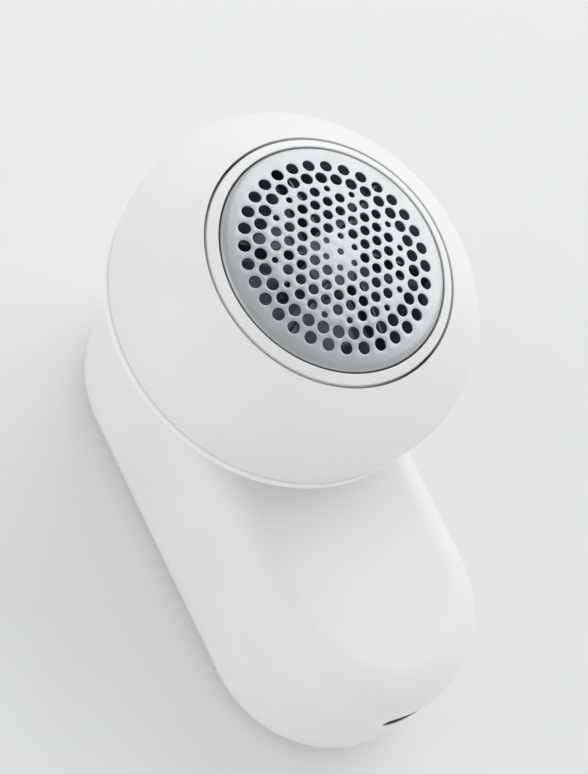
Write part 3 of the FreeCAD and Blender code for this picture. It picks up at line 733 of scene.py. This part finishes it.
def make_tray():
    """Floor of the bowl: lip, seal groove, locating rib, motor tower, plunger and screw holes."""
    top, low, rib_top, spigot_low = 45.8 * MM, 44.2 * MM, 48.0 * MM, 38.0 * MM
    tower, bore, roof, shaft_hole = 14.0 * MM, 12.3 * MM, 55.7 * MM, 3.05 * MM
    groove_outer, groove_inner = 35.0 * MM, 34.1 * MM
    tower_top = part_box("head_tray")[1].z
    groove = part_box("bin_seal")[0].z
    outline = rounded([
        (bore, spigot_low, 0.2 * MM), (tower, spigot_low, 0.2 * MM), (tower, low, 0),
        (TRAY_R, low, 0.75 * MM), (TRAY_R, top, 0.5 * MM),
        (groove_outer, top, 0.08 * MM), (groove_outer, groove, 0.08 * MM),
        (groove_inner, groove, 0.08 * MM), (groove_inner, top, 0.08 * MM),
        (RIB_OUTER, top, 0.15 * MM), (RIB_OUTER, rib_top, 0.3 * MM),
        (RIB_INNER, rib_top, 0.3 * MM), (RIB_INNER, top, 0.3 * MM),
        (tower, top, 0.8 * MM), (tower, tower_top, 0.9 * MM),
        (shaft_hole, tower_top, 0.2 * MM), (shaft_hole, roof, 0.1 * MM), (bore, roof, 0.3 * MM)])
    tray = lathe("bowl_tray", outline, segments=256)
    round_hole(tray, PLUNGER_X, 0.0, 1.38 * MM, low - MM, top + MM)
    for y in (-6.5 * MM, 6.5 * MM):
        round_hole(tray, HEAD_X, y, 1.1 * MM, roof - MM, tower_top + MM)
    dress(weight_normals(tray), "shell_white", "handle", "head_tray")
    # The tray takes its own plastic: a painted highlight on the lip and painted shade on the floor
    # inside the rib.
    tray.data.materials[0] = MATERIALS["tray_painted_light"]


def make_neck():
    """Flared collar: up from inside the casing, out under the tray, and back down inside."""
    foot, flare_r, flare_z = 31.6 * MM, 34.1 * MM, 43.3 * MM
    rim_z, bore, seat_z = 44.15 * MM, 16.0 * MM, 37.4 * MM
    outline = rounded([
        (bore, foot, 0.1 * MM), (20.0 * MM, foot, 0.1 * MM), (20.0 * MM, 35.6 * MM, 2.2 * MM),
        (flare_r, flare_z, 0.25 * MM), (34.4 * MM, rim_z, 0.1 * MM), (33.2 * MM, rim_z, 0.1 * MM),
        (21.6 * MM, 38.0 * MM, 0.2 * MM), (20.6 * MM, seat_z, 0.2 * MM), (bore, seat_z, 0.1 * MM)])
    neck = lathe("neck", outline)
    dress(weight_normals(neck), "shell_white", "handle", "neck_collar")


# ---------------------------------------------------------------- handle
def arc_rows(half, z, radius, from_degrees, to_degrees, steps):
    """(half width, z) rows along a rounded edge whose centre is inset by the radius."""
    rows = []
    for k in range(steps + 1):
        angle = math.radians(from_degrees + (to_degrees - from_degrees) * k / steps)
        rows.append((half - radius + radius * math.cos(angle), z + radius * math.sin(angle)))
    return rows


def handle_rows():
    """Outer skin from the top's middle down, round the opening, then the inner skin up."""
    half, inner = HANDLE_HALF, HANDLE_HALF - HANDLE_WALL
    opening = COVER_HALF + 0.15 * MM
    ceiling = HANDLE_TOP - HANDLE_WALL
    top_round, low_round = HANDLE_TOP_ROUND, HANDLE_LOW_ROUND
    wall_top, wall_low = HANDLE_TOP - top_round, low_round
    rows = [(2 * MM, HANDLE_TOP), (8 * MM, HANDLE_TOP), (half - top_round - 1 * MM, HANDLE_TOP)]
    rows += arc_rows(half, wall_top, top_round, 90, 0, 18)
    rows += [(half, wall_top + (wall_low - wall_top) * k / 10) for k in range(1, 10)]
    rows += arc_rows(half, wall_low, low_round, 0, -90, 18)
    rows += [(opening + 0.12 * MM, 0.0), (opening + 0.03 * MM, 0.04 * MM), (opening, 0.14 * MM)]
    rows += [(opening, HANDLE_WALL)]
    rows += arc_rows(inner, wall_low, low_round - HANDLE_WALL, -90, 0, 8)
    rows += arc_rows(inner, wall_top, top_round - HANDLE_WALL, 0, 90, 8)
    rows += [(2 * MM, ceiling)]
    return rows


def slot_ring(half_wide, half_high, x_of):
    """Ring in the YZ plane with two round sides; x_of gives each point's x."""
    flat = half_wide - half_high
    points = []
    for k in range(SLOT_POINTS):
        angle = 2 * math.pi * k / SLOT_POINTS
        side = flat if math.cos(angle) >= 0 else -flat
        y = side + half_high * math.cos(angle)
        z = PORT_Z + half_high * math.sin(angle)
        points.append(Vector((x_of(y, z), y, z)))
    return points


def tail_surface(y, z):
    """X of the casing's tail surface."""
    reach = HANDLE_HALF
    if z < HANDLE_LOW_ROUND:
        drop = HANDLE_LOW_ROUND - z
        reach -= HANDLE_LOW_ROUND - math.sqrt(HANDLE_LOW_ROUND ** 2 - drop ** 2)
    return TAIL_CENTRE + math.sqrt(reach ** 2 - y * y)


def port_cutter():
    """Seat of the slot's frame, with a soft lip: the cutter widens as it leaves the surface."""
    # how much wider the cutter is, and how far out of the surface, in millimetres
    lip_rows = ((0.0, -0.2), (0.02, -0.12), (0.06, -0.05), (0.12, -0.01), (0.2, 0.012), (0.4, 0.06))
    widest = lip_rows[-1][0] * MM
    rings = [slot_ring(SEAT_WIDE, SEAT_HIGH, lambda y, z: PORT_FLOOR)]
    for grow, out in lip_rows:
        rings.append(slot_ring(SEAT_WIDE + grow * MM, SEAT_HIGH + grow * MM,
                               lambda y, z, out=out: tail_surface(y, z) + out * MM))
    rings.append(slot_ring(SEAT_WIDE + widest, SEAT_HIGH + widest,
                           lambda y, z: HANDLE_TAIL + 2 * MM))
    return loft("port_cutter", rings)


def make_handle():
    """Pill-shaped casing, open below, with a walled slot for the charging socket."""
    handle = loft("handle_casing", [pill_points(half, z) for half, z in handle_rows()])
    housing = loft("port_housing", [
        slot_ring(HOUSING_WIDE, HOUSING_HIGH, lambda y, z: PORT_FLOOR - 1.2 * MM),
        slot_ring(HOUSING_WIDE, HOUSING_HIGH, lambda y, z: tail_surface(y, z) - 0.8 * MM)])
    combine(handle, housing, "UNION")
    combine(handle, port_cutter())
    combine(handle, loft("port_mouth", [
        slot_ring(SOCKET_WIDE, SOCKET_HIGH, lambda y, z: PORT_FLOOR - 2 * MM),
        slot_ring(SOCKET_WIDE, SOCKET_HIGH, lambda y, z: PORT_FLOOR + 1 * MM)]))
    dress(weight_normals(handle), "shell_white", "handle", "handle_shell")


# ---------------------------------------------------------------- underside
def make_base_cover():
    """Plate in the underside: rounded edges, button hole, lens hole and screw seats."""
    low, high, edge, seat_z = 0.0, HANDLE_WALL, 0.12 * MM, 0.95 * MM
    outline = [Vector((p.x, p.y)) for p in pill_points(COVER_HALF - edge, 0)]
    outer = [Vector((p.x, p.y)) for p in pill_points(COVER_HALF, 0)]
    # place, radius, and the radius above a screw's seat
    openings = [(Vector((BUTTON_X, 0.0)), 7.35 * MM, None),
                (Vector((LENS_X, 0.0)), 1.25 * MM, None)]
    openings += [(Vector(place), 2.2 * MM, 1.15 * MM) for place in SCREW_PLACES]
    loops = [outline] + [circle(centre, r + edge, HOLE_POINTS) for centre, r, seat in openings]
    flat, triangles, place = triangulate(loops, [])
    verts = [Vector((p.x, p.y, low)) for p in flat] + [Vector((p.x, p.y, high)) for p in flat]
    up = len(flat)
    faces = [tuple(reversed(t)) for t in triangles] + [tuple(up + i for i in t) for t in triangles]

    def level(points, z):
        return add_row(verts, [Vector((p.x, p.y, z)) for p in points])

    rim = [place[k] for k in range(len(outline))]
    faces += bands([rim, level(outer, edge), level(outer, high - edge), [up + i for i in rim]])
    start = len(outline)
    for centre, radius, seat in openings:
        top = [place[start + k] for k in range(HOLE_POINTS)]
        wall = circle(centre, radius, HOLE_POINTS)
        rows = [top, level(wall, edge)]
        if seat:
            throat = circle(centre, seat, HOLE_POINTS)
            rows += [level(wall, seat_z), level(throat, seat_z), level(throat, high)]
        else:
            rows += [level(wall, high - edge)]
        faces += bands(rows + [[up + i for i in top]])
        start += HOLE_POINTS
    cover = finish_mesh("base_plate", verts, faces)
    dress(weight_normals(cover), "shell_white", "handle", "base_cover")


def make_button():
    """Round button with a shallow dish for the thumb."""
    low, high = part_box("power_button")
    cap_r, flange_r, stem_r = 7.0 * MM, half_span("power_button", 1), 1.2 * MM
    dish_r, dish_deep, dish_steps = cap_r * 0.86, 0.35 * MM, 8
    flange_low, flange_high = 1.85 * MM, 2.9 * MM
    outline = [Vector((0.0, low.z + dish_deep))]
    for k in range(1, dish_steps + 1):
        part = k / dish_steps
        outline.append(Vector((dish_r * part, low.z + dish_deep * (1 - part ** 2))))
    edge = rounded([
        (dish_r, low.z, 0), (cap_r, low.z, 0.45 * MM), (cap_r, flange_low, 0.1 * MM),
        (flange_r, flange_low, 0.15 * MM), (flange_r, flange_high, 0.15 * MM),
        (stem_r, flange_high, 0.1 * MM), (stem_r, high.z, 0.1 * MM), (0.0, high.z, 0)])
    button = lathe("thumb_button", outline + edge[1:], x=BUTTON_X, segments=96)
    dress(weight_normals(button), "button_grey", "button", "power_button")


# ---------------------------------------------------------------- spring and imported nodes
def make_hub_spring():
    """Coil under the cutter hub, built at one length; it is not shortened as the cutter floats
    down.
    """
    coil, wire, turns, travel = 1.3 * MM, 0.2 * MM, 5.5, 0.8 * MM
    low, high = (corner.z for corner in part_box("cutter_spring"))
    wire_points, turn_steps = 12, 36
    count = round(turns * turn_steps)
    upward = Vector((0, 0, 1))
    rings = []
    for k in range(count + 1):
        angle = 2 * math.pi * k / turn_steps
        outward = Vector((math.cos(angle), math.sin(angle), 0))
        height = low + wire + (high - low - 2 * wire) * k / count
        centre = Vector((HEAD_X, 0, height)) + coil * outward
        rings.append([centre + wire * (math.cos(a) * outward + math.sin(a) * upward)
                      for a in (2 * math.pi * i / wire_points for i in range(wire_points))])
    spring = dress(loft("hub_spring", rings), "screw_steel", "rotor", "cutter_spring")
    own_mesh(spring)


def soften_node(node, width):
    """Welded points and rounded edges on a CAD node that stays in view."""
    piece = frame["nodes"][node]
    weld = piece.modifiers.new("weld", "WELD")
    weld.merge_threshold = 1e-6
    bevel = piece.modifiers.new("edges", "BEVEL")
    bevel.width = width
    bevel.segments = 2
    bevel.limit_method = "ANGLE"
    bevel.angle_limit = math.radians(40)


def dress_nodes():
    """Every CAD node takes the material of its record slot; the port's frame is a paler black."""
    slots = {entry["node"]: entry["material_slot"] for entry in frame["record"]["subparts"]}
    for name, piece in frame["nodes"].items():
        material = MATERIALS["liner_grey" if name == "port_liner" else slots[name]]
        if not piece.material_slots:
            piece.data.materials.append(material)
        for slot in piece.material_slots:
            slot.link = "OBJECT"
            slot.material = material


# ---------------------------------------------------------------- camera, light, floor
CAMERA_AZIMUTH = 20.0
CAMERA_ELEVATION = 55.0
CAMERA_ROLL = 47.0         # how far the world's up leans clockwise in the picture
CAMERA_DISTANCE = 0.62     # metres
CAMERA_LENS = 150.0        # millimetres
AIM = Vector((HEAD_X + 14 * MM, -2 * MM, 42 * MM))


def view_axes():
    """Right, up and back directions of the camera."""
    a, e = math.radians(CAMERA_AZIMUTH), math.radians(CAMERA_ELEVATION)
    back = Vector((math.sin(a) * math.cos(e), -math.cos(a) * math.cos(e), math.sin(e)))
    up = (Vector((0, 0, 1)) - back * back.z).normalized()
    right = up.cross(back)
    lean = math.radians(CAMERA_ROLL)
    turned_up = up * math.cos(lean) - right * math.sin(lean)
    turned_right = up * math.sin(lean) + right * math.cos(lean)
    return turned_right, turned_up, back


def make_camera():
    right, up, back = view_axes()
    data = bpy.data.cameras.new("camera")
    data.lens = CAMERA_LENS
    data.sensor_width = 36.0
    camera = bpy.data.objects.new("camera", data)
    bpy.context.scene.collection.objects.link(camera)
    rotation = Matrix((right, up, back)).transposed()
    camera.matrix_world = Matrix.Translation(AIM + back * CAMERA_DISTANCE) @ rotation.to_4x4()
    bpy.context.scene.camera = camera


# place on the ramp from the horizon up, and colour
SKY_LOW = (0.25, (0.865, 0.88, 0.88))
SKY_HIGH = (0.95, (0.60, 0.61, 0.615))
# direction from the aim point, distance, the disk's diameter, power
KEY_LIGHT = (Vector((-0.5, 0.9, 0.65)), 1.4, 2.0, 9.5)
FILL_LIGHT = (Vector((-0.35, -0.8, 0.5)), 1.2, 1.0, 1.6)
FLOOR_SIZE = 6.0


def area_light(name, direction, distance, size, power):
    """Round area light that faces the aim point."""
    data = bpy.data.lights.new(name, "AREA")
    data.shape = "DISK"
    data.size = size
    data.energy = power
    light = bpy.data.objects.new(name, data)
    bpy.context.scene.collection.objects.link(light)
    direction = direction.normalized()
    light.location = AIM + direction * distance
    light.rotation_mode = "QUATERNION"
    light.rotation_quaternion = direction.to_track_quat("Z", "Y")


def make_world():
    """Soft surround, brighter near the horizon and below it, darker overhead."""
    world = bpy.data.worlds.new("studio")
    bpy.context.scene.world = world
    world.use_nodes = True
    tree = world.node_tree
    source = tree.nodes.new("ShaderNodeTexCoord")
    split = tree.nodes.new("ShaderNodeSeparateXYZ")
    ramp = tree.nodes.new("ShaderNodeValToRGB")
    tree.links.new(source.outputs["Generated"], split.inputs["Vector"])
    tree.links.new(split.outputs["Z"], ramp.inputs["Fac"])
    for element, (position, colour) in zip(ramp.color_ramp.elements, (SKY_LOW, SKY_HIGH)):
        element.position = position
        element.color = (*colour, 1)
    background = tree.nodes["Background"]
    tree.links.new(ramp.outputs["Color"], background.inputs["Color"])
    background.inputs["Strength"].default_value = 1.0


def make_studio():
    """Two soft lights, the surround and a pale floor."""
    area_light("key", *KEY_LIGHT)
    area_light("fill", *FILL_LIGHT)
    make_world()
    bpy.context.scene.view_settings.view_transform = "Standard"
    bpy.ops.mesh.primitive_plane_add(size=FLOOR_SIZE, location=(0, 0, 0))
    floor = bpy.context.active_object
    floor.name = "floor"
    floor.data.materials.append(studio_paper("floor_paper", (0.86, 0.87, 0.865)))


# ---------------------------------------------------------------- build
MATERIALS = make_materials()
make_camera()
make_studio()
dress_nodes()
make_head_bowl()
make_lock_ring()
make_foil_carrier()
make_foil()
make_tray()
make_neck()
make_handle()
make_base_cover()
make_button()
make_hub_spring()
for node in ("cover_screws", "port_liner", "usb_receptacle", "usb_tongue", "cutter_hub",
             "motor_screws"):
    soften_node(node, 0.06 * MM)
